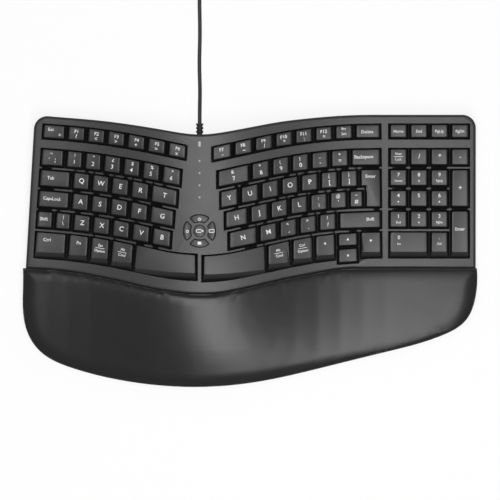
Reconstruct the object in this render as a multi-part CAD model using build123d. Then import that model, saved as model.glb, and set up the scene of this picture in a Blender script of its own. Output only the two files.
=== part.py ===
from build123d import *
import math
import os

# An ergonomic split keyboard with a wave-shaped cover, a numeric pad and a padded palm rest.
# Lengths are in millimetres, +Z is up and +Y is the rear edge, where the cord leaves.
# The origin is under the middle of the whole keyboard, on the desk.

# Key field
key_pitch = 19.05
row_pitch = 19.3
function_row_pitch = 24.0
bottom_row_pitch = 23.4
key_gap = 0.9
slot_clearance = 0.6
key_depth = 16.7
function_key_depth = 14.0
bottom_key_depth = 24.6
arrow_up_depth = 13.4
arrow_down_depth = 14.4
arrow_stem_shift = 1.6
console_gap = 3.0
left_block_reach = 145.7
right_block_reach = 167.8
left_row_start = 2.5
right_row_start = 1.5
numpad_strip = 5.9
outer_heading = 4.0
right_outer_heading = 0.5
inner_heading = 12.2
bend_start = 9.0
bend_end = 103.5
valley_radius = 183.0

# Key shape
key_rise = 3.8
key_sink = 2.8
key_travel = 2.5
side_taper = 1.95
rear_taper = 0.9
front_taper = 1.9
rolled_front_taper = 6.0
cap_wall = 1.1
cap_roof = 1.3
stem_size = 4.6
stem_clearance = 0.3
dome_contact_gap = 0.1

# Case
left_margin = 16.0
right_margin = 5.4
palm_overhang_left = 2.7
palm_overhang_right = 1.1
rear_margin = 39.6
cover_depth = 142.6
palm_depth = 110.6
rear_valley = 18.4
seam_valley = 23.9
corner_radius = 12.5
cover_front_height = 19.5
cover_rear_height = 24.0
hump_height = 13.0
hump_spread = 65.0
cover_wall = 2.2
edge_rounding = 2.5
parting_height = 5.2
seam_gap = 0.5
side_lean = 8.4

# Palm rest
pad_thickness = 3.4
pad_clearance = 0.3
pad_edge_rounding = 1.6
carrier_wall = 2.4
palm_front_height = 10.5
palm_front_crest = 7.0

# Inner stack, from the desk up
pad_foot_height = 2.0
case_lift = 1.2
case_floor = 2.0
rib_height = 3.0
rib_width = 1.6
rib_length = 96.0
rib_drop = 16.0
plate_thickness = 0.8
membrane_thickness = 0.5
dome_sheet_thickness = 0.6
dome_rest_height = 0.4
dome_base = 7.6
dome_top = 4.8
frame_gap = 0.4
frame_thickness = 1.5
frame_rail_height = 1.0
frame_rail_width = 8.0
frame_rim = 1.6
sheet_margin = 0.4
stack_margin = 1.0

# Screws and bosses
boss_radius = 2.6
screw_radius = 1.2
screw_head_radius = 2.4
screw_head_height = 1.2
screw_head_sink = 0.3
screw_length = 9.0
bore_depth = 6.0
carrier_bore = 6.0
carrier_screw_depth = 16.0
carrier_boss_drop = 1.4
boss_clearance = 0.9
pilot_clearance = 0.15

# Rubber pads and tilt feet
pad_length = 26.0
pad_width = 9.0
pad_recess = 0.8
foot_length = 24.0
foot_width = 30.0
foot_thickness = 2.8
foot_clearance = 0.35
foot_pin_radius = 1.0
foot_pin_length = 1.2
foot_wall = 1.4
foot_swing_room = 2.6
foot_inset = 22.0
foot_roof = 1.4
foot_recess = 0.4
foot_rear_margin = 18.0
foot_dish_share = 0.5

# Console
console_distance = 68.4
console_radius = 15.2
console_drop = 1.0
console_dome_rest = 1.1
petal_spacing = 22.6
centre_button_radius = 5.7
console_clearance = 0.35
console_rise = 0.7
console_travel = 0.8
button_flange = 0.6
button_flange_thickness = 0.8
button_leg = 2.6
lens_radius = 0.9
lens_length = 4.6
lens_width = 2.2
lens_clearance = 0.12
lens_distance = 12.2
lens_dots = 4
dot_distance = 3.4
dot_pitch = 11.3
board_height = 24.0
board_offset = 11.0
board_thickness = 1.6
board_width = 38.0
board_neck_width = 25.0
board_length = 56.0
board_neck_length = 48.0
board_post = 4.0
dome_pad_thickness = 0.6
led_height = 1.0
led_size = 2.0
chip_size = 8.0
chip_shift = 7.0
chip_height = 1.4
socket_length = 8.0
socket_depth = 5.0
socket_height = 3.2
socket_shift = 7.5

# Cord, strain relief and plug
cord_diameter = 3.6
relief_radius = 3.45
relief_neck_radius = 2.6
relief_length = 10.4
relief_rings = 3
relief_flange_radius = 4.6
relief_flange = 2.0
relief_clearance = 0.15
stack_notch = 30.0
coil_mean_radius = 21.6
coil_turns_per_layer = 4.625
coil_gap = 0.5
coil_sides = 4
coil_lead = 4.0
coil_over = 4.0
climb_turns = 0.5
corner_share = 0.45
heading_step = 0.003
gap_step = 1.2
tie_width = 5.0
tie_thickness = 0.6
tie_clearance = 0.3
tie_head = 3.0
plug_run = 22.0
plug_grip_length = 24.0
plug_grip_width = 15.5
plug_grip_height = 7.6
plug_grip_rounding = 2.5
plug_grip_chamfer = 1.2
plug_window = 2.4
plug_tongue_length = 11.0
plug_shell_length = 12.0
plug_shell_width = 12.0
plug_shell_height = 4.5
plug_shell_wall = 0.4
plug_tongue_height = 1.8

overrun = 20.0
cut_overrun = 5.0
round_sides = 10
cable_sides = 8
dot_sides = 8
upward_share = 0.5

# Places that follow from the sizes above
numpad_width = 4 * key_pitch
left_cover_reach = left_block_reach + left_margin
numpad_start = right_block_reach + right_row_start + numpad_strip
right_cover_reach = numpad_start + numpad_width + right_margin
left_reach = left_cover_reach + palm_overhang_left
right_reach = right_cover_reach + palm_overhang_right
split_x = (left_reach - right_reach) / 2
case_depth = cover_depth + palm_depth
rear_y = case_depth / 2
front_y = -case_depth / 2
seam_y = rear_y - cover_depth
number_row_y = rear_y - rear_margin
floor_top = case_lift + case_floor
plate_bottom = floor_top + rib_height
membrane_bottom = plate_bottom + plate_thickness
dome_sheet_bottom = membrane_bottom + membrane_thickness
dome_sheet_top = dome_sheet_bottom + dome_sheet_thickness
dome_height = key_travel + dome_rest_height
frame_bottom = dome_sheet_top + dome_height + frame_gap
frame_top = frame_bottom + frame_thickness
stem_bottom = dome_sheet_top + dome_height + dome_contact_gap
cover_slope = (cover_rear_height - cover_front_height) / cover_depth

# Rows by their distance in front of the number row, and the depth of their keys
row_places = {
    "function": (-function_row_pitch, function_key_depth, front_taper),
    "number": (0, key_depth, front_taper),
    "upper": (row_pitch, key_depth, front_taper),
    "home": (2 * row_pitch, key_depth, front_taper),
    "lower": (3 * row_pitch, key_depth, front_taper),
    "bottom": (3 * row_pitch + bottom_row_pitch, bottom_key_depth, rolled_front_taper),
}

# Key widths as shares of the key pitch, from the outer end of each row towards the split
left_key_shares = {
    "function": (1.21, 0.98, 0.98, 0.99, 1.0, 1.02, 1.02),
    "number": (1.23, 0.92, 0.93, 0.97, 0.95, 0.98, 1.05),
    "upper": (1.62, 0.95, 0.96, 0.98, 1.0, 1.43),
    "home": (1.64, 0.96, 0.95, 0.98, 1.0, 1.3),
    "lower": (0.9, 0.88, 0.97, 0.97, 0.98, 1.0, 1.06),
    "bottom": (1.62, 1.1, 1.03, 1.2),
}
right_key_shares = {
    "function": (1.35, 0.99, 0.98, 0.98, 0.99, 1.01, 1.03, 1.09),
    "number": (1.56, 0.99, 0.96, 0.97, 0.98, 1.02, 1.7),
    "upper": (1.12, 0.98, 0.96, 0.98, 0.97, 1.0, 1.02, 1.03),
    "home": (0.86, 0.8, 0.96, 0.97, 0.98, 0.99, 1.01, 1.26),
    "lower": (2.19, 0.97, 0.97, 0.99, 1.01, 1.53),
    "bottom": (1.14, 1.11, 1.11, 1.13, 1.25),
}

# Which node each key belongs to, in the same order
left_key_nodes = {
    "function": ["escape_key"] + ["left_function_keys"] * 6,
    "number": ["left_number_keys"] * 7,
    "upper": ["tab_key"] + ["left_upper_letter_keys"] * 5,
    "home": ["caps_lock_key"] + ["left_home_letter_keys"] * 5,
    "lower": ["left_shift_key"] + ["left_lower_letter_keys"] * 6,
    "bottom": ["left_ctrl_key"] + ["left_modifier_keys"] * 3,
}
right_key_nodes = {
    "function": ["delete_key"] + ["right_function_keys"] * 7,
    "number": ["backspace_key"] + ["right_number_keys"] * 6,
    "upper": [""] + ["right_upper_letter_keys"] * 7,
    "home": [""] + ["right_home_letter_keys"] * 7,
    "lower": ["right_shift_key"] + ["right_lower_letter_keys"] * 5,
    "bottom": ["arrow_right_key", "", "arrow_left_key"] + ["right_modifier_keys"] * 2,
}

# Outlines as shares: across, of the reach on that side of the split; back, of the named depth
rear_left_shares = ((-0.87, 0.07), (-0.6, 0.27), (-0.32, 0.6), (-0.18, 0.81), (-0.09, 0.94))
rear_right_shares = (
    (0.06, 0.94), (0.117, 0.81), (0.204, 0.58),
    (0.29, 0.36), (0.378, 0.207), (0.465, 0.092),
)
rear_flat_share = 0.62
seam_left_shares = (
    (-0.88, 0.04), (-0.725, 0.15), (-0.6, 0.3),
    (-0.46, 0.49), (-0.345, 0.68), (-0.17, 0.9),
)
seam_right_shares = (
    (0.074, 0.96), (0.146, 0.82), (0.219, 0.64),
    (0.29, 0.46), (0.4, 0.23), (0.47, 0.09),
)
seam_flat_share = 0.58
front_left_shares = (
    (-1, 0.18), (-0.997, 0.4), (-0.966, 0.57),
    (-0.898, 0.707), (-0.723, 0.84), (-0.4, 0.955),
)
front_right_shares = (
    (0.2, 0.96), (0.438, 0.84), (0.669, 0.707),
    (0.871, 0.57), (0.961, 0.437), (0.996, 0.235),
)
front_crest_share = -0.02
palm_height_shares = (
    (0, 1, 1), (0.35, 0.93, 0.92), (0.6, 0.72, 0.72),
    (0.78, 0.44, 0.42), (1.05, -0.06, 0),
)
hump_station_count = 11
space_corner_shares = (0, 0.34, 0.56, 0.78, 1)
carrier_screw_shares = (-0.8, -0.3, 0.3, 0.8)
rib_shares = (-0.9, -0.55, -0.2, 0.16, 0.4, 0.64, 0.88)
pad_place_shares = (
    (-0.8, 0.77), (-0.1, 0.94), (0.8, 0.78),
    (-0.55, 0.22), (0.06, 0.3), (0.66, 0.22),
)
console_directions = {
    "media_up_button": 90,
    "media_left_button": 180,
    "media_down_button": 270,
    "media_right_button": 0,
}


def bell(x):
    """The hump's height at x, as a share of its height at the split."""
    return math.exp(-(((x - split_x) / hump_spread) ** 2) / 2)


def cover_height(x, y):
    """The height of the cover's surface over the desk."""
    return cover_front_height + cover_slope * (y - seam_y) + hump_height * bell(x)


def below_surface(stations, ruled):
    """A solid under a surface of hump sections. Each station is (y, flat height, hump height)."""
    left = split_x - left_reach - overrun
    right = split_x + right_reach + overrun
    steps = [left + (right - left) * n / hump_station_count for n in range(hump_station_count + 1)]
    sections = []
    for y, flat, hump in stations:
        top = Spline([(x, y, flat + hump * bell(x)) for x in steps])
        ends = [(right, y, -overrun), (left, y, -overrun)]
        sides = Polyline([top @ 1, *ends, top @ 0])
        sections.append(make_face([*top.edges(), *sides.edges()]).face())
    return Solid.make_loft([face.outer_wire() for face in sections], ruled)


def below_cover(lift):
    """The solid under the cover's surface, raised by lift."""
    rows = (front_y, rear_y + overrun)
    return below_surface(
        [(y, cover_front_height + cover_slope * (y - seam_y) + lift, hump_height) for y in rows],
        True,
    )


def below_palm(lift):
    """The solid under the palm rest's surface, raised by lift."""
    stations = [(seam_y + overrun, cover_front_height + lift, hump_height)]
    for depth, flat, crest in palm_height_shares:
        stations.append(
            (
                seam_y - depth * palm_depth,
                palm_front_height + flat * (cover_front_height - palm_front_height) + lift,
                palm_front_crest + crest * (hump_height - palm_front_crest),
            )
        )
    return below_surface(stations, False)


def reach_point(across, back, left, right, y, depth):
    """An outline point from its two shares."""
    return (split_x + across * (left if across < 0 else right), y - back * depth)


def seam_points(shift, left, right):
    """The line between cover and palm rest, from left to right, moved back by shift."""
    points = [(split_x - left, seam_y + shift)]
    for across, back in (*seam_left_shares, (0, 1), *seam_right_shares, (seam_flat_share, 0)):
        x, y = reach_point(across, back, left, right, seam_y, seam_valley)
        points.append((x, y + shift))
    return points


def cover_outline(shrink=0):
    """The cover seen from above, as a face, with its edge moved in by shrink."""
    left, right, rear_edge = left_cover_reach - shrink, right_cover_reach - shrink, rear_y - shrink
    seam = Spline(seam_points(shrink, left, right))
    corner = (split_x + right, seam_y + shrink)
    rear_left = (split_x - left + side_lean, rear_edge)
    rear = [(split_x + right * rear_flat_share, rear_edge)]
    for across, back in (*rear_right_shares[::-1], (0, 1), *rear_left_shares[::-1]):
        rear.append(reach_point(across, back, left, right, rear_edge, rear_valley))
    rear_line = Spline([*rear, rear_left])
    right_side = Polyline([seam @ 1, corner, (split_x + right, rear_edge), rear_line @ 0])
    left_side = Line(rear_left, seam @ 0)
    outline = make_face([*seam.edges(), *right_side.edges(), *rear_line.edges(), left_side])
    rear_corners = outline.vertices().sort_by(Axis.Y)[-4:]
    ends = [rear_corners.sort_by(Axis.X)[0], rear_corners.sort_by(Axis.X)[-1]]
    return fillet(ends, corner_radius - shrink)


def palm_outline(gap, shrink=0):
    """The palm rest seen from above, as a face, with a gap to the cover and its edge moved in by shrink."""
    left, right, rear_edge = left_reach - shrink, right_reach - shrink, seam_y - gap - shrink
    seam = Spline(seam_points(-gap - shrink, left_cover_reach - shrink, right_cover_reach - shrink))
    front = [(split_x - left, rear_edge)]
    for across, back in (*front_left_shares, (front_crest_share, 1), *front_right_shares):
        front.append(reach_point(across, back, left, right, seam_y, palm_depth - shrink))
    front_line = Spline([*front, (split_x + right, rear_edge)])
    left_step = Line(front_line @ 0, seam @ 0)
    right_step = Line(seam @ 1, front_line @ 1)
    return make_face([*front_line.edges(), left_step, *seam.edges(), right_step])


def prism(face, bottom, top):
    """A face on the desk plane, as a solid from one height to another."""
    return Pos(0, 0, bottom) * extrude(face, top - bottom, dir=(0, 0, 1))


def round_post(x, y, radius, bottom, top):
    """An upright post, or the space of a bore, with enough sides to look round."""
    return Pos(x, y) * prism(RegularPolygon(radius, round_sides), bottom, top)


def row_point(side, offset, along):
    """A point on a row, and the row's heading there in degrees below level.

    offset is how far the row lies in front of the number row. along is the distance from
    the row's outer end. The row runs level, bends towards the user and then runs straight.
    """
    first = outer_heading if side < 0 else right_outer_heading
    reach = left_block_reach if side < 0 else right_block_reach
    turn = math.radians(inner_heading - first)
    radius = (bend_end - bend_start) / turn - offset
    start, level = math.radians(first), min(along, bend_start)
    x = reach + offset * math.sin(start) - level * math.cos(start)
    y = number_row_y - offset * math.cos(start) - level * math.sin(start)
    bent = min(max(along - bend_start, 0) / radius, turn)
    heading = start + bent
    x -= radius * (math.sin(heading) - math.sin(start))
    y -= radius * (math.cos(start) - math.cos(heading))
    straight = max(along - bend_start - radius * turn, 0)
    x -= straight * math.cos(heading)
    y -= straight * math.sin(heading)
    return (split_x + side * x, y), math.degrees(heading)


def cell_outline(side, rear, front, start, end):
    """A key's cell on a row: four corners, anticlockwise from the rear left seen from above."""
    corners = [
        row_point(side, rear, start)[0],
        row_point(side, front, start)[0],
        row_point(side, front, end)[0],
        row_point(side, rear, end)[0],
    ]
    return corners if side < 0 else [corners[3], corners[2], corners[1], corners[0]]


def inset(points, distances):
    """An anticlockwise polygon with each side moved inwards by its own distance."""
    lines = []
    for n, (x, y) in enumerate(points):
        ahead_x, ahead_y = points[(n + 1) % len(points)]
        length = math.hypot(ahead_x - x, ahead_y - y)
        along = ((ahead_x - x) / length, (ahead_y - y) / length)
        lines.append(((x - along[1] * distances[n], y + along[0] * distances[n]), along))
    moved = []
    for n in range(len(points)):
        (ax, ay), (au, av) = lines[n - 1]
        (bx, by), (bu, bv) = lines[n]
        t = ((bx - ax) * bv - (by - ay) * bu) / (au * bv - av * bu)
        moved.append((ax + au * t, ay + av * t))
    return moved


def tapered(points, insets, bottom, top, full):
    """A polygon's solid whose sides lean in by the insets at the height full."""
    share = (top - bottom) / (full - bottom)
    low = [(x, y, bottom) for x, y in points]
    high = [(x, y, top) for x, y in inset(points, [share * d for d in insets])]
    faces = [Face(Wire.make_polygon(low)), Face(Wire.make_polygon(high))]
    for n in range(len(low)):
        faces.append(Face(Wire.make_polygon([low[n - 1], low[n], high[n], high[n - 1]])))
    return Solid(Shell(faces))


def middle(points):
    """The middle of a polygon's corners."""
    return (
        sum(x for x, y in points) / len(points),
        sum(y for x, y in points) / len(points),
    )


def surface_plane(x, y, lift):
    """A plane that touches the cover's surface over a point, raised by lift."""
    slope_x = -hump_height * bell(x) * (x - split_x) / hump_spread**2
    return Plane(origin=(x, y, cover_height(x, y) + lift), z_dir=(-slope_x, -cover_slope, 1))


def square_post(x, y, turn, size, bottom, top):
    """An upright square post, turned with its key."""
    return Pos(x, y, bottom) * Rot(0, 0, turn) * extrude(Rectangle(size, size), top - bottom)


def keycap(points, insets, centre, turn, curved=False):
    """A hollow keycap with its stem. points is the skirt's outline, insets the lean of each side."""
    x, y = centre
    height = cover_height(x, y)
    skirt, full = height - key_sink, height + key_rise
    walls = [d + cap_wall for d in insets]
    outer = tapered(points, insets, skirt, full + cut_overrun, full)
    hollow_foot = inset(points, [cap_wall for d in insets])
    hollow = tapered(hollow_foot, insets, skirt, full + cut_overrun, full)
    if curved:
        outer = outer & below_cover(key_rise)
        hollow = hollow & below_cover(key_rise - cap_roof)
    else:
        outer = split(outer, surface_plane(x, y, key_rise), Keep.BOTTOM)
        hollow = split(hollow, surface_plane(x, y, key_rise - cap_roof), Keep.BOTTOM)
    stem = square_post(x, y, turn, stem_size, stem_bottom, full - cap_roof / 2)
    return (outer - hollow) + stem


class Key:
    """One key: its node, its skirt's outline, how its sides lean, and where its stem stands."""

    def __init__(self, node, points, insets, turn, curved=False, centre=None):
        self.node = node
        self.points = points
        self.insets = insets
        self.turn = turn
        self.curved = curved
        self.centre = centre or middle(points)

    def solid(self):
        return keycap(self.points, self.insets, self.centre, self.turn, self.curved)


def row_keys(side, row):
    """The keys of one row of one block, from its outer end."""
    offset, depth, front = row_places[row]
    shares = (left_key_shares if side < 0 else right_key_shares)[row]
    nodes = (left_key_nodes if side < 0 else right_key_nodes)[row]
    along = -(left_row_start if side < 0 else right_row_start)
    keys = []
    for share, node in zip(shares, nodes):
        end = along + share * key_pitch
        heading = row_point(side, offset, (along + end) / 2)[1]
        cell = cell_outline(
            side, offset - depth / 2, offset + depth / 2, along + key_gap / 2, end - key_gap / 2
        )
        insets = [side_taper, front, side_taper, rear_taper]
        if node:
            keys.append(Key(node, cell, insets, side * heading))
        along = end
    return keys


def row_start(side):
    return -(left_row_start if side < 0 else right_row_start)


def row_marks(side, row):
    """The distances along a row at which its keys' cells meet, its two ends among them."""
    marks = [row_start(side)]
    for share in (left_key_shares if side < 0 else right_key_shares)[row]:
        marks.append(marks[-1] + share * key_pitch)
    return marks


def row_band(side, rear, front, marks, widen):
    """The strip of a block between two offsets, with a corner at each mark."""
    along = [marks[0] - widen, *marks[1:-1], marks[-1] + widen]
    rear_edge = [row_point(side, rear, s)[0] for s in along]
    front_edge = [row_point(side, front, s)[0] for s in along]
    return make_face(Polyline([*rear_edge, *front_edge[::-1]], close=True))


def row_slot(side, row):
    """A row's opening in the cover, a little larger than its keys."""
    offset, depth, front = row_places[row]
    half = depth / 2 + slot_clearance
    return row_band(side, offset - half, offset + half, row_marks(side, row), slot_clearance - key_gap / 2)


def valley_point(side, offset, share):
    """A point of the space keys' curve: share 0 at the outer end, 1 at the split."""
    start = row_marks(side, "bottom")[-1]
    radius = valley_radius + offset - row_places["bottom"][0]
    turn = math.radians(inner_heading)
    outer, heading = row_point(side, offset, start)
    straight = (abs(outer[0] - split_x) - radius * math.sin(turn)) / math.cos(turn)
    length = straight + radius * turn
    along = share * length
    if along <= straight:
        return row_point(side, offset, start + along)[0]
    tangent = row_point(side, offset, start + straight)[0]
    bend = turn - (along - straight) / radius
    return (
        split_x + side * radius * math.sin(bend),
        tangent[1] + radius * (math.cos(turn) - math.cos(bend)),
    )


def space_outline(side, depth, outer_gap, inner_gap):
    """A space key's curved outline, anticlockwise from its rear left corner."""
    offset = row_places["bottom"][0]
    start = row_marks(side, "bottom")[-1]
    shares = space_corner_shares
    rear = [valley_point(side, offset - depth / 2, s) for s in shares]
    front = [valley_point(side, offset + depth / 2, s) for s in shares]
    rear[0] = row_point(side, offset - depth / 2, start + outer_gap)[0]
    front[0] = row_point(side, offset + depth / 2, start + outer_gap)[0]
    rear[-1] = (split_x + side * inner_gap, rear[-1][1])
    front[-1] = (split_x + side * inner_gap, front[-1][1])
    points = [rear[0], *front, *rear[:0:-1]]
    return points if side < 0 else points[::-1]


def space_key(side):
    """A space key, which follows the valley at the split."""
    points = space_outline(side, bottom_key_depth, key_gap / 2, console_gap / 2 + slot_clearance)
    edges = len(space_corner_shares) - 1
    front, rear = [rolled_front_taper] * edges, [rear_taper] * edges
    if side < 0:
        insets = [side_taper, *front, side_taper, *rear]
    else:
        insets = [*rear[1:], side_taper, *front, side_taper, rear_taper]
    node = "left_space_key" if side < 0 else "right_space_key"
    return Key(node, points, insets, side * inner_heading / 2, curved=True)


def bottom_slot(side):
    """The bottom row's opening, which runs on round the space key to the split."""
    offset, depth, front = row_places["bottom"]
    marks = row_marks(side, "bottom")
    along = [marks[0] - slot_clearance + key_gap / 2, *marks[1:-1]]
    edges = []
    for row in (offset - depth / 2 - slot_clearance, offset + depth / 2 + slot_clearance):
        edge = [row_point(side, row, s)[0] for s in along]
        edge += [valley_point(side, row, share) for share in space_corner_shares[1:-1]]
        edge.append((split_x + side * console_gap / 2, valley_point(side, row, 1)[1]))
        edges.append(edge)
    return flat([*edges[0], *edges[1][::-1]])


def enter_key():
    """The tall enter key, an L over the upper and home rows of the right block."""
    start = row_start(1) + key_gap / 2
    wide = row_marks(1, "upper")[1] - key_gap / 2
    narrow = row_marks(1, "home")[1] - key_gap / 2
    upper, home = row_places["upper"][0], row_places["home"][0]
    half = key_depth / 2
    points = [
        row_point(1, upper - half, wide)[0],
        row_point(1, upper + half, wide)[0],
        row_point(1, upper + half, narrow)[0],
        row_point(1, home + half, narrow)[0],
        row_point(1, home + half, start)[0],
        row_point(1, upper - half, start)[0],
    ]
    insets = [side_taper, front_taper, side_taper, front_taper, side_taper, rear_taper]
    return Key("enter_key", points, insets, right_outer_heading)


def arrow_spans():
    """The two half-depth arrow keys' spans in front of the number row."""
    rear = row_places["bottom"][0] - bottom_key_depth / 2
    middle_gap = rear + arrow_up_depth
    return (rear, middle_gap), (middle_gap + key_gap, middle_gap + key_gap + arrow_down_depth)


def arrow_keys():
    """The up and down arrows, one behind the other in one cell of the bottom row."""
    marks = row_marks(1, "bottom")
    keys = []
    for node, (rear, front), shift in zip(
        ("arrow_up_key", "arrow_down_key"), arrow_spans(), (0, arrow_stem_shift)
    ):
        cell = cell_outline(1, rear, front, marks[1] + key_gap / 2, marks[2] - key_gap / 2)
        centre, heading = row_point(1, (rear + front) / 2 - shift, (marks[1] + marks[2]) / 2)
        insets = [side_taper, front_taper, side_taper, rear_taper]
        keys.append(Key(node, cell, insets, heading, centre=centre))
    return keys


def pad_cell(first, last, rear, front, widen=0):
    """A rectangle of the numeric pad, from column first up to column last."""
    left = split_x + numpad_start + first * key_pitch - widen
    right = split_x + numpad_start + last * key_pitch + widen
    back, near = number_row_y - rear + widen, number_row_y - front - widen
    return [(left, back), (left, near), (right, near), (right, back)]


def pad_key(node, first, last, top_row, low_row):
    """A key of the numeric pad over whole columns and rows."""
    rear = row_places[top_row][0] - row_places[top_row][1] / 2
    low, depth, front = row_places[low_row]
    cell = pad_cell(first, last, rear, low + depth / 2)
    points = inset(cell, [key_gap / 2, 0, key_gap / 2, 0])
    return Key(node, points, [side_taper, front, side_taper, rear_taper], 0)


def pad_keys():
    """The numeric pad, with the navigation keys behind it."""
    keys = [pad_key("navigation_keys", n, n + 1, "function", "function") for n in range(4)]
    keys += [pad_key("numpad_operator_keys", n, n + 1, "number", "number") for n in range(4)]
    for row in ("upper", "home", "lower"):
        keys += [pad_key("numpad_digit_keys", n, n + 1, row, row) for n in range(3)]
    keys.append(pad_key("numpad_zero_key", 0, 2, "bottom", "bottom"))
    keys.append(pad_key("numpad_digit_keys", 2, 3, "bottom", "bottom"))
    keys.append(pad_key("numpad_plus_key", 3, 4, "upper", "home"))
    keys.append(pad_key("numpad_enter_key", 3, 4, "lower", "bottom"))
    return keys


def all_keys():
    keys = []
    for side in (-1, 1):
        for row in row_places:
            keys += row_keys(side, row)
        keys.append(space_key(side))
    return keys + [enter_key()] + arrow_keys() + pad_keys()


def flat(points):
    """A face on the desk plane inside a polygon."""
    return make_face(Polyline(list(points), close=True))


def pad_slot(first, last, top_row, low_row):
    """An opening of the numeric pad over whole columns and rows."""
    rear = row_places[top_row][0] - row_places[top_row][1] / 2
    low, depth, front = row_places[low_row]
    cell = pad_cell(first, last, rear, low + depth / 2)
    side = key_gap / 2 - slot_clearance
    return flat(inset(cell, [side, -slot_clearance, side, -slot_clearance]))


def key_slots():
    """Every opening for keys, joined where they meet, on the desk plane."""
    slots = []
    for side in (-1, 1):
        for row in row_places:
            if row != "bottom":
                slots.append(row_slot(side, row))
        slots.append(bottom_slot(side))
    upper, home = row_places["upper"][0], row_places["home"][0]
    enter_marks = [row_start(1), row_marks(1, "home")[1]]
    bridge = row_band(1, upper, home, enter_marks, slot_clearance - key_gap / 2)
    marks = row_marks(1, "bottom")
    arrow_front = arrow_spans()[1][1] + slot_clearance
    down = row_band(1, row_places["bottom"][0], arrow_front, marks[1:3], slot_clearance - key_gap / 2)
    slots = [*slots, bridge, down]
    slots += [pad_slot(0, 4, "function", "function"), pad_slot(0, 4, "number", "number")]
    slots += [pad_slot(0, 3, row, row) for row in ("upper", "home", "lower", "bottom")]
    slots += [pad_slot(3, 4, "upper", "home"), pad_slot(3, 4, "lower", "bottom")]
    return Sketch() + slots


def screw_places():
    """Where the screws pass: behind the function keys, in front of the bottom row, under the palm rest."""
    beside = slot_clearance + boss_radius + boss_clearance
    rear = row_places["function"][0] - function_key_depth / 2 - beside
    front = row_places["bottom"][0] + bottom_key_depth / 2 + beside
    places = []
    for side, offset, share in (
        (-1, rear, 0.15), (-1, rear, 0.85), (1, rear, 0.6), (-1, front, 0.2), (1, front, 0.6),
    ):
        span = row_marks(side, "number")[-1]
        places.append(row_point(side, offset, share * span)[0])
    pad_middle = split_x + numpad_start + numpad_width / 2
    places += [(pad_middle, number_row_y - rear), (pad_middle, number_row_y - front)]
    return places


def carrier_screw_places():
    places = []
    for share in carrier_screw_shares:
        reach = left_reach if share < 0 else right_reach
        x = split_x + share * reach
        places.append((x, seam_y - carrier_screw_depth - seam_valley * bell(x)))
    return places


def cable_axis():
    """Where the strain relief's axis stands: its x, the rear wall's y there, and its height."""
    return split_x, rear_y - rear_valley, parting_height + relief_radius + relief_clearance


def console_centre():
    x, y = split_x, number_row_y - console_distance
    return x, y, cover_height(x, y)


def petal(radius, direction):
    """A lens-shaped face in one of the four directions, on the desk plane."""
    x, y, z = console_centre()
    turn = math.radians(direction)
    away = Pos(x + petal_spacing * math.cos(turn), y + petal_spacing * math.sin(turn))
    return (Pos(x, y) * Circle(radius)) & (away * Circle(radius))


def button_faces(grow):
    """The faces of the five console buttons, grown by a clearance or a flange."""
    x, y, z = console_centre()
    faces = {name: petal(console_radius + grow, turn) for name, turn in console_directions.items()}
    faces["media_centre_button"] = Pos(x, y) * Circle(centre_button_radius + grow)
    return faces


def lens_faces(grow):
    """The faces of the indicator lenses: a long one at the rear and a row of dots."""
    x = split_x
    faces = [Pos(x, number_row_y + lens_distance) * Rectangle(lens_width + 2 * grow, lens_length + 2 * grow)]
    for n in range(lens_dots):
        y = number_row_y - dot_distance - n * dot_pitch
        faces.append(Pos(x, y) * RegularPolygon(lens_radius + grow, dot_sides))
    return faces


def top_cover():
    """The wave-shaped cover: a shell with an opening for each row, screw bosses and console openings."""
    outline = cover_outline()
    block = prism(outline, parting_height, cover_rear_height + hump_height + overrun) & below_cover(0)
    top_face = block.faces().filter_by(lambda face: face.normal_at().Z > upward_share)[0]
    block = fillet(top_face.edges(), edge_rounding)
    high = cover_rear_height + hump_height + overrun
    cover = block - (prism(cover_outline(cover_wall), parting_height, high) & below_cover(-cover_wall))
    bores = []
    for x, y in screw_places():
        cover += round_post(x, y, boss_radius, parting_height, cover_height(x, y) - cover_wall / 2)
        bore = screw_radius + pilot_clearance
        bores.append(round_post(x, y, bore, parting_height, parting_height + bore_depth))
    openings = key_slots() + list(button_faces(console_clearance).values()) + lens_faces(lens_clearance)
    cover -= prism(openings, floor_top, high)
    x, y, z = cable_axis()
    notch_width = 2 * (relief_radius + relief_clearance)
    notch = Pos(x, y, z) * Rot(90, 0, 0) * Cylinder(notch_width / 2, 2 * cut_overrun)
    notch += Pos(x, y, z / 2) * Box(notch_width, 2 * cut_overrun, z)
    return cover - [*bores, notch]


def bottom_case():
    """The base: a tray with ribs, screw posts, pockets for the feet and recesses for the rubber pads."""
    case = prism(cover_outline() + palm_outline(0), case_lift, parting_height)
    case -= prism(cover_outline(cover_wall), floor_top, parting_height)
    case -= prism(palm_outline(0, cover_wall), floor_top, parting_height)
    for x, y, length in case_ribs():
        case += Pos(x, y, floor_top + rib_height / 2) * Box(rib_width, length, rib_height)
    places = screw_places() + carrier_screw_places()
    for x, y in places:
        case += round_post(x, y, boss_radius, floor_top, parting_height)
    for side in (-1, 1):
        case += foot_pocket(side, foot_wall, case_lift, plate_bottom)
    for side in (-1, 1):
        case -= foot_pocket(side, 0, case_lift - overrun, plate_bottom - foot_roof)
        x, y, z = foot_axis(side)
        bore = foot_width + 2 * (foot_clearance + foot_pin_length + pilot_clearance)
        case -= Pos(x, y, z) * Rot(0, 90, 0) * Cylinder(foot_pin_radius + pilot_clearance, bore)
    for x, y in places:
        case -= round_post(x, y, screw_radius + pilot_clearance, 0, 2 * parting_height)
        head_top = case_lift + screw_head_sink + screw_head_height
        case -= round_post(x, y, screw_head_radius + pilot_clearance, 0, head_top)
    for x, y in pad_places():
        case -= Pos(x, y, case_lift) * Box(pad_length, pad_width, 2 * pad_recess)
    return case


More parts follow.
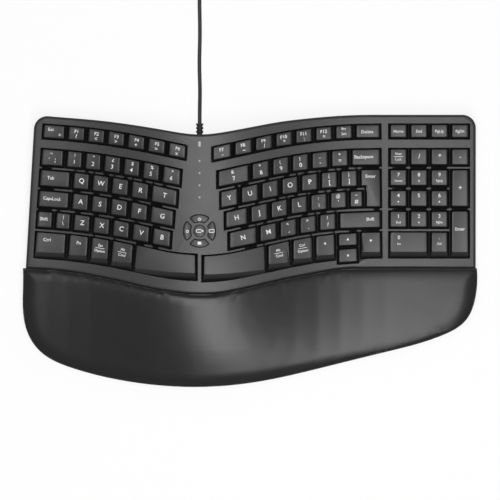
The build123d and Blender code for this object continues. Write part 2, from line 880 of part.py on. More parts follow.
def case_ribs():
    """Straight ribs that carry the backing plate: place and length."""
    ribs = []
    for share in rib_shares:
        reach = left_block_reach if share < 0 else right_cover_reach
        x = split_x + share * reach
        middle_y = number_row_y - row_places["lower"][0] / 2 - rib_drop * bell(x)
        ribs.append((x, middle_y, rib_length))
    return ribs


def foot_axis(side):
    """A tilt foot's hinge axis: the middle of the foot, the axis's y and its height."""
    reach = left_cover_reach - side_lean if side < 0 else right_cover_reach
    x = split_x + side * (reach - foot_inset - foot_width / 2)
    return x, rear_y - foot_rear_margin, case_lift + foot_recess + foot_thickness / 2


def foot_pocket(side, wall, bottom, top):
    """The space of a folded foot, or with a wall the block around it."""
    x, y, z = foot_axis(side)
    width = foot_width + 2 * (foot_clearance + wall)
    rear = y + foot_thickness / 2 + foot_clearance + wall
    front = y - foot_length - foot_swing_room - wall
    return Pos(x, (rear + front) / 2, (bottom + top) / 2) * Box(width, rear - front, top - bottom)


def tilt_foot(side):
    """A flip-down foot: a plate with a round hinge end, two pins and a thicker toe."""
    x, y, z = foot_axis(side)
    half = foot_thickness / 2
    profile = Pos(-foot_length / 2, 0) * Rectangle(foot_length, foot_thickness) + Circle(half)
    profile -= Pos(-foot_length * foot_dish_share, half) * Circle(foot_thickness * foot_dish_share)
    plate = extrude(profile, foot_width / 2, both=True)
    pins = Cylinder(foot_pin_radius, foot_width + 2 * foot_clearance + 2 * foot_pin_length)
    return Plane(origin=(x, y, z), x_dir=(0, 1, 0), z_dir=(1, 0, 0)) * (plate + pins)


def pad_places():
    """Where the rubber pads lie under the base."""
    places = []
    for across, back in pad_place_shares:
        reach = left_reach if across < 0 else right_reach
        places.append((split_x + across * reach, rear_y - back * case_depth))
    return places


def rubber_pads():
    pad = Pos(0, 0, pad_foot_height / 2) * Box(pad_length, pad_width, pad_foot_height)
    return [Pos(x, y) * pad for x, y in pad_places()]


def case_screws():
    """Pan-head screws from below, in counterbores of the base."""
    screws = []
    for x, y in screw_places() + carrier_screw_places():
        bottom = case_lift + screw_head_sink
        head = round_post(x, y, screw_head_radius, bottom, bottom + screw_head_height)
        screws.append(head + round_post(x, y, screw_radius, bottom, bottom + screw_length))
    return screws


def palm_carrier():
    """The hard shell under the palm rest's cushion."""
    outline = palm_outline(seam_gap)
    high = cover_front_height + hump_height + overrun
    shell = prism(outline, parting_height, high) & below_palm(-pad_thickness)
    room = prism(palm_outline(seam_gap, carrier_wall), parting_height, high)
    shell -= room & below_palm(-pad_thickness - carrier_wall)
    for x, y in carrier_screw_places():
        boss_top = cover_height(x, y) - pad_thickness - carrier_boss_drop
        shell += round_post(x, y, boss_radius, parting_height, boss_top)
    for x, y in carrier_screw_places():
        shell -= round_post(x, y, screw_radius + pilot_clearance, 0, parting_height + carrier_bore)
    return shell


def palm_pad():
    """The palm rest's cushion, with rounded edges, a little clear of its carrier."""
    outline = palm_outline(seam_gap)
    high = cover_front_height + hump_height + overrun
    block = prism(outline, parting_height, high) & below_palm(0)
    top_face = block.faces().filter_by(lambda face: face.normal_at().Z > upward_share)[0]
    block = fillet(top_face.edges(), pad_edge_rounding)
    return block - below_palm(pad_clearance - pad_thickness)


def stack_outline(shrink):
    """The outline shared by the frame, domes, membrane and backing plate."""
    rear = row_places["function"][0] - function_key_depth / 2 - slot_clearance + shrink
    front = row_places["bottom"][0] + bottom_key_depth / 2 + slot_clearance - shrink
    left_marks = [row_start(-1) - stack_margin + shrink, bend_start, (bend_start + bend_end) / 2, bend_end]
    right_marks = [row_start(1), bend_start, (bend_start + bend_end) / 2, bend_end]
    points = []
    for offset_y, order in ((rear, 1), (front, -1)):
        left = [row_point(-1, offset_y, s)[0] for s in left_marks]
        right = [row_point(1, offset_y, s)[0] for s in right_marks[::-1]]
        end = (split_x + numpad_start + numpad_width + stack_margin - shrink, number_row_y - offset_y)
        points += [*left, *right, end][::order]
    x, y, z = cable_axis()
    half = stack_notch / 2 + shrink
    inner = y - cover_wall - relief_flange - 2 * relief_clearance - shrink
    notch = Pos(x, inner + overrun / 2) * Rectangle(2 * half, overrun)
    outline = flat(points) - notch
    for x, y in screw_places():
        outline -= Pos(x, y) * RegularPolygon(boss_radius + slot_clearance + shrink, round_sides)
    return outline


def posts(keys, size, bottom, top):
    return [square_post(*key.centre, key.turn, size, bottom, top) for key in keys]


def key_frame(keys):
    """The moulded frame: a plate on a rim, with rails along the rows and a square guide for every stem."""
    frame = prism(stack_outline(0), dome_sheet_top, frame_top)
    frame -= prism(stack_outline(frame_rim), dome_sheet_top, frame_bottom)
    rails = []
    for side in (-1, 1):
        for row in row_places:
            offset_y = row_places[row][0]
            marks = row_marks(side, row)
            half = frame_rail_width / 2
            rails.append(row_band(side, offset_y - half, offset_y + half, marks, 0))
    frame += [prism(rail, frame_top, frame_top + frame_rail_height) for rail in rails]
    for x, y in board_posts():
        frame += square_post(x, y, 0, board_post, frame_top, board_height)
    guide = stem_size + 2 * stem_clearance
    return frame - posts(keys, guide, frame_bottom - cut_overrun, frame_top + cut_overrun)


def rubber_domes(keys):
    """The dome sheet: one rubber dome under every stem."""
    sheet = prism(stack_outline(sheet_margin), dome_sheet_bottom, dome_sheet_top)
    lean = (dome_base - dome_top) / 2
    domes = []
    for key in keys:
        x, y = key.centre
        half = dome_base / 2
        corners = [(x - half, y + half), (x - half, y - half), (x + half, y - half), (x + half, y + half)]
        top = dome_sheet_top + dome_height
        domes.append(tapered(corners, [lean] * 4, dome_sheet_top, top, top))
    return sheet + domes


def board_posts():
    x, y, z = console_centre()
    across = board_width / 2 - board_post / 2
    along = board_length / 2 - board_post / 2
    middle_y = board_middle()
    return [(x + sx * across, middle_y + sy * along) for sx in (-1, 1) for sy in (-1, 1)]


def board_middle():
    return console_centre()[1] + board_offset


def controller_board():
    """The controller board on the frame's posts, with its chip, its cord socket and its lights."""
    x, middle_y = split_x, board_middle()
    face = Pos(x, middle_y) * Rectangle(board_width, board_length)
    neck_y = middle_y + board_length / 2 + board_neck_length / 2
    face += Pos(x, neck_y) * Rectangle(board_neck_width, board_neck_length)
    board = [prism(face, board_height, board_height + board_thickness)]
    top = board_height + board_thickness
    for lens in lens_faces(0):
        place = lens.center()
        board.append(square_post(place.X, place.Y, 0, led_size, top, top + led_height))
    chip_y = middle_y + board_length / 2 - chip_size / 2
    board.append(square_post(x + chip_shift, chip_y, 0, chip_size, top, top + chip_height))
    socket = Box(socket_length, socket_depth, socket_height)
    socket_y = neck_y + board_neck_length / 2 - socket_depth / 2
    board.append(Pos(x - socket_shift, socket_y, top + socket_height / 2) * socket)
    return board


def console_dome_pad():
    """The rubber pad between the board and the console buttons, with a dome under each."""
    x, y, z = console_centre()
    top = board_height + board_thickness
    pad = Pos(x, y, top + dome_pad_thickness / 2) * Box(board_width, 2 * console_radius, dome_pad_thickness)
    high = console_leg_bottom() - dome_contact_gap
    return pad + [
        Pos(px, py, (top + dome_pad_thickness + high) / 2)
        * Box(button_leg, button_leg, high - top - dome_pad_thickness)
        for px, py in button_centres().values()
    ]


def console_leg_bottom():
    return board_height + board_thickness + dome_pad_thickness + console_travel + console_dome_rest


def button_centres():
    x, y, z = console_centre()
    places = {"media_centre_button": (x, y)}
    for name, turn in console_directions.items():
        angle = math.radians(turn)
        reach = petal_spacing / 2
        places[name] = (x + reach * math.cos(angle), y + reach * math.sin(angle))
    return places


def console_buttons():
    """The five console buttons: a face, a flange under the cover and a leg down to its dome."""
    x, y, z = console_centre()
    faces, flanges, legs = button_faces(0), button_faces(button_flange), button_centres()
    roof = z - cover_wall - console_drop
    buttons = {}
    for name, face in faces.items():
        solid = prism(face, roof - button_flange_thickness, z + console_rise)
        solid += prism(flanges[name], roof - button_flange_thickness, roof)
        px, py = legs[name]
        low = console_leg_bottom()
        solid += Pos(px, py, (low + roof) / 2) * Box(button_leg, button_leg, roof - low)
        buttons[name] = solid
    return buttons


def indicator_lenses():
    """Clear light guides from the board's lights up to the cover's surface."""
    low = board_height + board_thickness + led_height + lens_clearance
    guides = []
    for face in lens_faces(0):
        place = face.center()
        guides.append(prism(face, low, cover_height(place.X, place.Y)))
    return guides


def strain_relief():
    """A ribbed sleeve in the rear wall, with a flange inside and rings outside."""
    x, y, z = cable_axis()
    steps = [(relief_flange_radius, relief_flange), (relief_radius, cover_wall + 2 * relief_clearance)]
    ring = relief_length / (2 * relief_rings)
    steps += [(relief_neck_radius, ring), (relief_radius, ring)] * relief_rings
    sleeve, reach = [], 0
    for radius, length in steps:
        sleeve.append(round_post(0, 0, radius, reach, reach + length))
        reach += length
    inner = y - cover_wall - relief_flange - relief_clearance
    return Pos(x, inner, z) * Rot(-90, 0, 0) * (Part() + sleeve)


def cord_route():
    """The cord's hand-placed points from the strain relief to the coil, on the desk's surface."""
    x, y, z = cable_axis()
    start = y + relief_clearance + relief_length
    desk = cord_diameter / 2 - z
    coil = desk + tie_thickness + tie_clearance
    points = [
        (0, 0, 0), (0, 12, 0), (0.4, 31, desk), (-0.5, 56, desk), (0.4, 84, desk),
        (-0.3, 112, desk), (0, 136, coil), (0, 152, coil),
    ]
    return [(x + dx, start + dy, z + dz) for dx, dy, dz in points]


def corner_radii(points):
    """The largest even radius of each corner, from its two runs and its turn."""
    radii = []
    for before, at, after in zip(points, points[1:], points[2:]):
        first, second = Vector(*at) - Vector(*before), Vector(*after) - Vector(*at)
        turn = math.radians(first.get_angle(second))
        radii.append(corner_share * min(first.length, second.length) / math.tan(turn / 2))
    return radii


def usb_cable():
    """The cord's free run, a round tube along straight runs and tangent arcs."""
    points = cord_route()
    radii = corner_radii(points)
    print("cord radii", [round(radius) for radius in radii])
    path = FilletPolyline(*points, radius=radii)
    section = Plane(origin=path @ 0, z_dir=path % 0) * RegularPolygon(cord_diameter / 2, cable_sides)
    cord = sweep(section, path=path)
    print("cord volume over section times length", cord.volume / (section.area * path.length))
    return cord


def biarc(start, heading, end, end_heading):
    """Two arcs that meet smoothly, from one point and heading to another."""
    across, both = end - start, heading + end_heading
    spread = 2 * (1 - heading.dot(end_heading))
    reach = -across.dot(both)
    if spread > 0:
        reach = (reach + math.sqrt(reach**2 + spread * across.dot(across))) / spread
    else:
        reach = across.dot(across) / (-2 * reach)
    first, second = start + heading * reach, end - end_heading * reach
    meeting = (first + second) * 0.5
    ahead = (second - first).normalized()
    return [
        Edge.make_tangent_arc(start, heading, meeting),
        Edge.make_tangent_arc(meeting, ahead, end),
    ]


def coil_point(turn):
    """The coil's line at a number of turns: a spiral in, a climb, and a spiral out again."""
    x, y, z = cord_route()[-1]
    step = cord_diameter + coil_gap
    share = min(max((turn - coil_turns_per_layer) / climb_turns, 0), 1)
    climb = share**2 * (3 - 2 * share)
    inward = min(turn, 2 * coil_turns_per_layer + climb_turns - turn)
    radius = coil_mean_radius + step * (coil_turns_per_layer / 2 - inward)
    angle = 2 * math.pi * turn
    outer = coil_mean_radius + step * coil_turns_per_layer / 2
    return Vector(
        x - outer + radius * math.cos(angle),
        y + coil_lead + radius * math.sin(angle),
        z + climb * step,
    )


def coil_path():
    """The coil's line: a short lead, the turns, and a stretch over the lead and down to the plug."""
    turns = 2 * coil_turns_per_layer + climb_turns
    down = [coil_turns_per_layer - n / 2 for n in range(int(2 * coil_turns_per_layer) + 1)]
    marks = [0, *down[::-1], turns / 2, *[turns - mark for mark in down], turns]
    points = [coil_point(mark) for mark in marks]
    headings = [Vector(0, 1, 0)]
    for mark in marks[1:-1]:
        ahead = coil_point(mark + heading_step) - coil_point(mark - heading_step)
        headings.append(ahead.normalized())
    headings.append(Vector(1, 0, 0))
    edges = [Edge.make_line(points[0] - headings[0] * coil_lead, points[0])]
    for n in range(len(points) - 1):
        edges += biarc(points[n], headings[n], points[n + 1], headings[n + 1])
    last, ahead = points[-1], headings[-1]
    over = Vector(cord_route()[-1][0] + coil_over, last.Y, last.Z)
    down = Vector(over.X + plug_run, last.Y, plug_grip_height / 2)
    edges.append(Edge.make_line(last, over))
    edges += biarc(over, ahead, down, ahead)
    edges.append(Edge.make_line(down, down + ahead * cord_diameter))
    return Wire(edges)


def least_gap(path):
    """The least gap of the coiled cord to itself, measured on points along its line."""
    count = int(path.length / gap_step)
    points = [path.position_at(n / count) for n in range(count + 1)]
    skip = int(3 * cord_diameter / gap_step)
    nearest = min(
        (points[n] - points[m]).length for n in range(count + 1) for m in range(n + skip, count + 1)
    )
    return nearest - cord_diameter


def usb_cable_coil():
    """The rest of the cord, wound into a neat coil of two layers."""
    path = coil_path()
    section = Plane(origin=path @ 0, z_dir=path % 0) * RegularPolygon(cord_diameter / 2, coil_sides)
    coil = sweep(section, path=path)
    print("coil length", path.length, "least gap to itself", least_gap(path))
    print("coil volume over section times length", coil.volume / (section.area * path.length))
    return coil


def coil_middle():
    x, y, z = cord_route()[-1]
    outer = coil_mean_radius + (cord_diameter + coil_gap) * coil_turns_per_layer / 2
    return x - outer, y + coil_lead, z


def cable_tie():
    """A flat strap round the coil's turns, with a small head."""
    x, y, z = coil_middle()
    step = cord_diameter + coil_gap
    room_y = coil_turns_per_layer * step + cord_diameter + 2 * tie_clearance
    room_z = step + cord_diameter + 2 * tie_clearance
    middle_y, middle_z = y + coil_mean_radius, z + step / 2
    band = Box(tie_width, room_y + 2 * tie_thickness, room_z + 2 * tie_thickness)
    band -= Box(tie_width, room_y, room_z)
    head = Pos(0, room_y / 2 + tie_thickness + tie_head / 2, 0) * Box(tie_width, tie_head, room_z / 2)
    return Pos(x, middle_y, middle_z) * (band + head)


def plug_start():
    path = coil_path()
    return path @ 1


def usb_plug_grip():
    """The plug's moulded grip: a block with rounded ends and a stepped nose."""
    at = plug_start()
    block = Box(plug_grip_length, plug_grip_width, plug_grip_height)
    block = fillet(block.edges().filter_by(Axis.Z), plug_grip_rounding)
    block = chamfer(block.faces().sort_by(Axis.Z)[-1].edges(), plug_grip_chamfer)
    return Pos(at.X + plug_grip_length / 2, at.Y, at.Z) * block


def usb_plug_shell():
    """The plug's metal shell, open at the front."""
    at = plug_start()
    shell = Box(plug_shell_length, plug_shell_width, plug_shell_height)
    inside = (plug_shell_width - 2 * plug_shell_wall, plug_shell_height - 2 * plug_shell_wall)
    shell -= Box(plug_shell_length, *inside)
    for side in (-1, 1):
        window = Box(plug_window, plug_window, plug_shell_height)
        shell -= Pos(0, side * plug_shell_width / 4, plug_shell_height / 2) * window
    return Pos(at.X + plug_grip_length + plug_shell_length / 2, at.Y, at.Z) * shell


def usb_plug_tongue():
    """The insulating tongue inside the plug's shell."""
    at = plug_start()
    room_y = plug_shell_width - 2 * plug_shell_wall
    low = at.Z - plug_shell_height / 2 + plug_shell_wall
    tongue = Box(plug_tongue_length, room_y, plug_tongue_height)
    x = at.X + plug_grip_length + plug_tongue_length / 2
    return Pos(x, at.Y, low + plug_tongue_height / 2) * tongue


def plain_sheet(bottom, thickness):
    """A flat sheet of the inner stack."""
    return prism(stack_outline(sheet_margin), bottom, bottom + thickness)


def group(solids):
    """One node of several solids, or a single solid as it is."""
    return solids[0] if len(solids) == 1 else Compound(list(solids))


def build():
    """Every node by its name."""
    keys = all_keys()
    nodes = {}
    for key in keys:
        nodes.setdefault(key.node, []).append(key.solid())
    nodes["top_cover"] = [top_cover()]
    nodes["bottom_case"] = [bottom_case()]
    nodes["palm_rest_carrier"] = [palm_carrier()]
    nodes["palm_rest_pad"] = [palm_pad()]
    nodes["key_frame"] = [key_frame(keys)]
    nodes["rubber_dome_sheet"] = [rubber_domes(keys)]
    nodes["membrane_sheet"] = [plain_sheet(membrane_bottom, membrane_thickness)]
    nodes["backing_plate"] = [plain_sheet(plate_bottom, plate_thickness)]
    nodes["controller_board"] = controller_board()
    nodes["console_dome_pad"] = [console_dome_pad()]
    nodes["indicator_lenses"] = indicator_lenses()
    for name, button in console_buttons().items():
        nodes[name] = [button]
    nodes["case_screws"] = case_screws()
    nodes["rubber_pads"] = rubber_pads()
    nodes["tilt_foot_left"] = [tilt_foot(-1)]
    nodes["tilt_foot_right"] = [tilt_foot(1)]
    nodes["strain_relief"] = [strain_relief()]
    nodes["usb_cable"] = [usb_cable()]
    nodes["usb_cable_coil"] = [usb_cable_coil()]
    nodes["cable_tie"] = [cable_tie()]
    nodes["usb_plug_grip"] = [usb_plug_grip()]
    nodes["usb_plug_shell"] = [usb_plug_shell()]
    nodes["usb_plug_tongue"] = [usb_plug_tongue()]
    return nodes


os.makedirs("parts", exist_ok=True)
for name, solids in build().items():
    export_step(group(solids), f"parts/{name}.step")
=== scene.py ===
import math

import bmesh
import bpy
import numpy
from mathutils import Matrix, Vector
from mathutils.bvhtree import BVHTree
from mathutils.kdtree import KDTree


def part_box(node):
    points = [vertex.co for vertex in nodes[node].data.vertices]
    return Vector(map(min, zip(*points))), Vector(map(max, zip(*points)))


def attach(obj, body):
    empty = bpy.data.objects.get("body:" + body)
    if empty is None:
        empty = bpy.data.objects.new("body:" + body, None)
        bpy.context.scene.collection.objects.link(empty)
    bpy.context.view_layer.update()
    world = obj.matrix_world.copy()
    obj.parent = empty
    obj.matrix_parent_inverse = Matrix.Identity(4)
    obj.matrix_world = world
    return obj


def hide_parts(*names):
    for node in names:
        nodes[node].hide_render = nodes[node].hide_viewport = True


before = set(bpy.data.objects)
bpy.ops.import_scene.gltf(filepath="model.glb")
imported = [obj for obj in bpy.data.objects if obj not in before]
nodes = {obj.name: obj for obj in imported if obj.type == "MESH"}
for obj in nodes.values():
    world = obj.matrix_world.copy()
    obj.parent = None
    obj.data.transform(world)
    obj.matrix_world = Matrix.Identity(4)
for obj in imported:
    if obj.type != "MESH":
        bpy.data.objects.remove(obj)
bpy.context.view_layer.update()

scene = bpy.context.scene
base = "keyboard_base"

# Camera: it hangs straight over the keyboard, far off, so that nothing leans outwards.
# The photograph's frame spans 465.3 mm of the cover's level.
frame_width = 0.4653
frame_middle = (0.0001, 0.0009)
camera_height = 8.0
framed_level = 0.012
camera_data = bpy.data.cameras.new("overhead_camera")
camera_data.sensor_width = 36
camera_data.lens = camera_data.sensor_width * (camera_height - framed_level) / frame_width
camera = bpy.data.objects.new("overhead_camera", camera_data)
camera.location = (*frame_middle, camera_height)
scene.collection.objects.link(camera)
scene.camera = camera
scene.view_settings.view_transform = "Standard"

# Studio light: a narrow soft box overhead, long from front to back, and a weaker one from the
# rear right. The world fills the shadows, and a camera, a gloss or glass sees it white.
sky_colour = (0.95, 0.97, 1, 1)
sky_fade_top, sky_low, sky_high = 0.9, 0.04, 0.3


def soft_box(name, place, size, power):
    """An oblong lamp that faces the keyboard: its place and size in metres, and its power."""
    data = bpy.data.lights.new(name, "AREA")
    data.shape = "RECTANGLE"
    data.size, data.size_y = size
    data.energy = power
    box = bpy.data.objects.new(name, data)
    box.location = place
    box.rotation_euler = (-Vector(place)).to_track_quat("-Z", "Y").to_euler()
    box.visible_camera = False
    scene.collection.objects.link(box)


def white_seen(tree, plain, white_kind):
    """A mask of the rays that see white, and a mix of a plain shader with white."""
    path = tree.nodes.new("ShaderNodeLightPath")
    mask = path.outputs["Is Camera Ray"]
    for ray in ("Is Transmission Ray", "Is Glossy Ray"):
        either = tree.nodes.new("ShaderNodeMath")
        either.operation = "MAXIMUM"
        tree.links.new(mask, either.inputs[0])
        tree.links.new(path.outputs[ray], either.inputs[1])
        mask = either.outputs[0]
    white = tree.nodes.new(white_kind)
    white.inputs["Color"].default_value = (1, 1, 1, 1)
    mix = tree.nodes.new("ShaderNodeMixShader")
    tree.links.new(plain.outputs[0], mix.inputs[1])
    tree.links.new(white.outputs[0], mix.inputs[2])
    return mask, mix


soft_box("overhead_soft_box", (0.05, -0.25, 1.9), (0.4, 1.7), 33)
soft_box("rear_soft_box", (1.3, 1.5, 1.5), (1.2, 0.8), 5)
world = bpy.data.worlds.new("studio")
scene.world = world
world.use_nodes = True
sky = world.node_tree
sky_light = sky.nodes["Background"]
sky_light.inputs["Color"].default_value = sky_colour
sky_place = sky.nodes.new("ShaderNodeTexCoord")
sky_axes = sky.nodes.new("ShaderNodeSeparateXYZ")
sky_fade = sky.nodes.new("ShaderNodeMapRange")
for socket, value in (("From Max", sky_fade_top), ("To Min", sky_low), ("To Max", sky_high)):
    sky_fade.inputs[socket].default_value = value
sky.links.new(sky_place.outputs["Generated"], sky_axes.inputs["Vector"])
sky.links.new(sky_axes.outputs["Z"], sky_fade.inputs["Value"])
sky.links.new(sky_fade.outputs["Result"], sky_light.inputs["Strength"])
sky_mask, sky_mix = white_seen(sky, sky_light, "ShaderNodeBackground")
sky.links.new(sky_mask, sky_mix.inputs[0])
sky.links.new(sky_mix.outputs[0], sky.nodes["World Output"].inputs["Surface"])

# Floor: a plain white sheet of studio paper under the keyboard. The camera sees it nearly as
# white as the world, and the part that isn't pure white keeps the keyboard's shadow.
floor_reach = 6
paper_tone, paper_roughness, paper_gloss = (0.9, 0.9, 0.9, 1), 0.9, 0.1
white_share = 0.85


def mesh_object(name, shape):
    """An object made of a finished bmesh, which is used up."""
    mesh = bpy.data.meshes.new(name)
    shape.to_mesh(mesh)
    shape.free()
    item = bpy.data.objects.new(name, mesh)
    scene.collection.objects.link(item)
    return item


floor_shape = bmesh.new()
bmesh.ops.create_grid(floor_shape, x_segments=1, y_segments=1, size=floor_reach)
floor = mesh_object("floor", floor_shape)
paper = bpy.data.materials.new("white_paper")
paper.use_nodes = True
paper_tree = paper.node_tree
sheet = paper_tree.nodes["Principled BSDF"]
sheet.inputs["Base Color"].default_value = paper_tone
sheet.inputs["Roughness"].default_value = paper_roughness
sheet.inputs["Specular IOR Level"].default_value = paper_gloss
paper_mask, paper_mix = white_seen(paper_tree, sheet, "ShaderNodeEmission")
share = paper_tree.nodes.new("ShaderNodeMath")
share.operation = "MULTIPLY"
share.inputs[1].default_value = white_share
paper_tree.links.new(paper_mask, share.inputs[0])
paper_tree.links.new(share.outputs[0], paper_mix.inputs[0])
paper_tree.links.new(paper_mix.outputs[0], paper_tree.nodes["Material Output"].inputs["Surface"])
floor.data.materials.append(paper)

# USB cord: a thin soft PVC lead. It runs straight back from the keyboard on the desk, and the
# length that the photograph doesn't show lies behind in a neat flat coil of two layers.
cord_diameter = 0.0036
cord_exit = Vector((-0.04675, 0.11875, 0.0088))
free_run = [
    (0, 0, 0.0088), (0, 0.012, 0.0088), (0.0004, 0.031, 0.0018), (-0.0005, 0.056, 0.0018),
    (0.0004, 0.084, 0.0018), (-0.0003, 0.112, 0.0018), (0, 0.136, 0.0027), (0, 0.152, 0.0027),
]
coil_middle = Vector((-0.07783, 0.27475))
coil_mean_radius = 0.0216
turn_step = 0.0041
coil_turns = 9.75
layer_turns = 4.625
climb_turns = 0.5
points_per_turn = 20
lower_layer = 0.0027
plug_run = [
    (-0.0600, 0.24367, 0.0068), (-0.0425, 0.24367, 0.0068), (-0.0320, 0.24367, 0.0058),
    (-0.0245, 0.24367, 0.0038), (-0.0200, 0.24367, 0.0038), (-0.01715, 0.24367, 0.0038),
]
line = [(cord_exit.x + x, cord_exit.y + y, z) for x, y, z in free_run]
for n in range(round(coil_turns * points_per_turn) + 1):
    turn = n / points_per_turn
    radius = coil_mean_radius + turn_step * (layer_turns / 2 - min(turn, coil_turns - turn))
    climb = min(max((turn - layer_turns) / climb_turns, 0), 1)
    height = lower_layer + turn_step * climb**2 * (3 - 2 * climb)
    angle = 2 * math.pi * turn
    line.append((
        coil_middle.x + radius * math.cos(angle), coil_middle.y + radius * math.sin(angle), height
    ))
line += plug_run
cord_curve = bpy.data.curves.new("usb_cord", "CURVE")
cord_curve.dimensions = "3D"
cord_curve.bevel_depth = 1.0
cord_curve.bevel_resolution = 3
cord_curve.resolution_u = 4
cord_curve.use_fill_caps = True
spline = cord_curve.splines.new("NURBS")
spline.points.add(len(line) - 1)
for point, place in zip(spline.points, line):
    point.co = (*place, 1)
    point.radius = cord_diameter / 2
spline.order_u = 3
spline.use_endpoint_u = True
cord = bpy.data.objects.new("usb_cord", cord_curve)
scene.collection.objects.link(cord)
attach(cord, base)
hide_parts("usb_cable", "usb_cable_coil")

# Moulded finish: what every moulded piece has, the cord's jacket first. Spark-eroded steel
# moulds leave a fine grain, and the tone drifts a little in slow clouds.
matt_gloss = 0.26
grain_height = 0.0001
grain_group = bpy.data.node_groups.new("moulded_grain", "ShaderNodeTree")
for name, kind in (("Place", "Vector"), ("Grain", "Float"), ("Cloud", "Float")):
    grain_group.interface.new_socket(name, in_out="INPUT", socket_type="NodeSocket" + kind)
for name in ("Height", "Tone"):
    grain_group.interface.new_socket(name, in_out="OUTPUT", socket_type="NodeSocketFloat")
inlet = grain_group.nodes.new("NodeGroupInput")
outlet = grain_group.nodes.new("NodeGroupOutput")
for scale, detail, result in (("Grain", 2, "Height"), ("Cloud", 4, "Tone")):
    noise = grain_group.nodes.new("ShaderNodeTexNoise")
    noise.inputs["Detail"].default_value = detail
    grain_group.links.new(inlet.outputs["Place"], noise.inputs["Vector"])
    grain_group.links.new(inlet.outputs[scale], noise.inputs["Scale"])
    grain_group.links.new(noise.outputs["Fac"], outlet.inputs[result])


def moulded(
    name, tone, roughness, grain=0.0006, depth=0.25, spread=0.12, cloud=90, gloss=matt_gloss,
    metal=0
):
    """A moulded material: its colour, roughness, grain size in metres, depth and unevenness."""
    material = bpy.data.materials.new(name)
    material.use_nodes = True
    tree = material.node_tree
    shader = tree.nodes["Principled BSDF"]
    shader.inputs["Specular IOR Level"].default_value = gloss
    shader.inputs["Metallic"].default_value = metal
    coordinates = tree.nodes.new("ShaderNodeTexCoord")
    skin = tree.nodes.new("ShaderNodeGroup")
    skin.node_tree = grain_group
    skin.inputs["Grain"].default_value = 1 / grain
    skin.inputs["Cloud"].default_value = cloud
    tree.links.new(coordinates.outputs["Object"], skin.inputs["Place"])
    colour = tree.nodes.new("ShaderNodeMix")
    colour.data_type = "RGBA"
    tone = (tone, tone, tone) if isinstance(tone, float) else tone
    colour.inputs["A"].default_value = (*[v * (1 - spread) for v in tone], 1)
    colour.inputs["B"].default_value = (*[min(v * (1 + spread), 1) for v in tone], 1)
    tree.links.new(skin.outputs["Tone"], colour.inputs["Factor"])
    tree.links.new(colour.outputs["Result"], shader.inputs["Base Color"])
    rough = tree.nodes.new("ShaderNodeMapRange")
    rough.inputs["To Min"].default_value = roughness * (1 - spread)
    rough.inputs["To Max"].default_value = min(roughness * (1 + spread), 1)
    tree.links.new(skin.outputs["Tone"], rough.inputs["Value"])
    tree.links.new(rough.outputs["Result"], shader.inputs["Roughness"])
    bump = tree.nodes.new("ShaderNodeBump")
    bump.inputs["Strength"].default_value = depth
    bump.inputs["Distance"].default_value = grain_height
    tree.links.new(skin.outputs["Height"], bump.inputs["Height"])
    tree.links.new(bump.outputs["Normal"], shader.inputs["Normal"])
    return material


def finish(piece, material):
    """Gives a piece its one material."""
    piece.data.materials.clear()
    piece.data.materials.append(material)


jacket = moulded("cord_jacket_black", 0.018, 0.5, grain=0.0009)
finish(cord, jacket)

# Cord ends: the strap round the coil, and the plug: a moulded grip, a nickel-plated shell
# and the white tongue inside it.
finish(nodes["cable_tie"], moulded("tie_nylon", 0.02, 0.45))
finish(nodes["usb_plug_tongue"], moulded("tongue_white", 0.7, 0.4))
finish(nodes["usb_plug_shell"], moulded("nickel_plate", 0.62, 0.28, depth=0.05, metal=1))


def put(name, shape, material, body, slot, *replaced, smooth=35):
    """Makes a finished bmesh a piece of the keyboard, on its body and with its finish."""
    piece = mesh_object(name, shape)
    mesh = piece.data
    mesh.polygons.foreach_set("use_smooth", [True] * len(mesh.polygons))
    mesh.set_sharp_from_angle(angle=math.radians(smooth))
    mesh.materials.append(material)
    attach(piece, body)
    if replaced:
        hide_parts(*replaced)
    return piece


def merged_copy(node, flatten=0.0):
    """A copy of a CAD node with its triangles joined, and flat faces made whole."""
    shape = bmesh.new()
    shape.from_mesh(nodes[node].data)
    bmesh.ops.remove_doubles(shape, verts=shape.verts, dist=2e-6)
    if flatten:
        bmesh.ops.dissolve_limit(
            shape, angle_limit=math.radians(flatten), verts=shape.verts, edges=shape.edges
        )
    return shape


def round_off(shape, edges, width, segments):
    """Rounds a shape's edges, as a mould's corners are."""
    bmesh.ops.bevel(
        shape, geom=list(edges), offset=width, offset_type="OFFSET", segments=segments,
        profile=0.5, affect="EDGES", clamp_overlap=True, material=-1,
    )


grip_flat, grip_corner, grip_rounding = 2, 0.5, 0.0006
grip = merged_copy("usb_plug_grip", grip_flat)
grip_corners = [
    e for e in grip.edges if e.is_manifold and e.calc_face_angle_signed() > grip_corner
]
round_off(grip, grip_corners, grip_rounding, 2)
put("plug_grip", grip, jacket, base, "cord_jacket", "usb_plug_grip")

# Strain relief: a soft ribbed sleeve moulded on the cord and clipped into the rear wall.
# Its flange sits inside the wall, and three rings stand outside.
relief_bore, relief_mouth = 0.0018, 0.0019
relief_radius, neck_radius = 0.00345, 0.0026
flange_radius, flange_thickness = 0.0044, 0.002
ring_count, rings_length, ring_edge = 3, 0.0104, 0.0003
relief_low, relief_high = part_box("strain_relief")
ring_pitch = rings_length / ring_count
flange_end = relief_low.y + flange_thickness
outside = relief_high.y - rings_length
profile = [
    (relief_bore, relief_low.y), (flange_radius, relief_low.y), (flange_radius, flange_end),
    (relief_radius, flange_end), (relief_radius, outside),
]
for n in range(ring_count):
    start = outside + n * ring_pitch
    middle, end = start + ring_pitch / 2, start + ring_pitch
    profile += [
        (neck_radius, start + ring_edge), (neck_radius, middle - ring_edge),
        (relief_radius - ring_edge, middle), (relief_radius, middle + ring_edge),
        (relief_radius, end - ring_edge), (relief_radius - ring_edge, end),
    ]
profile.append((relief_mouth, profile[-1][1]))
relief = bmesh.new()
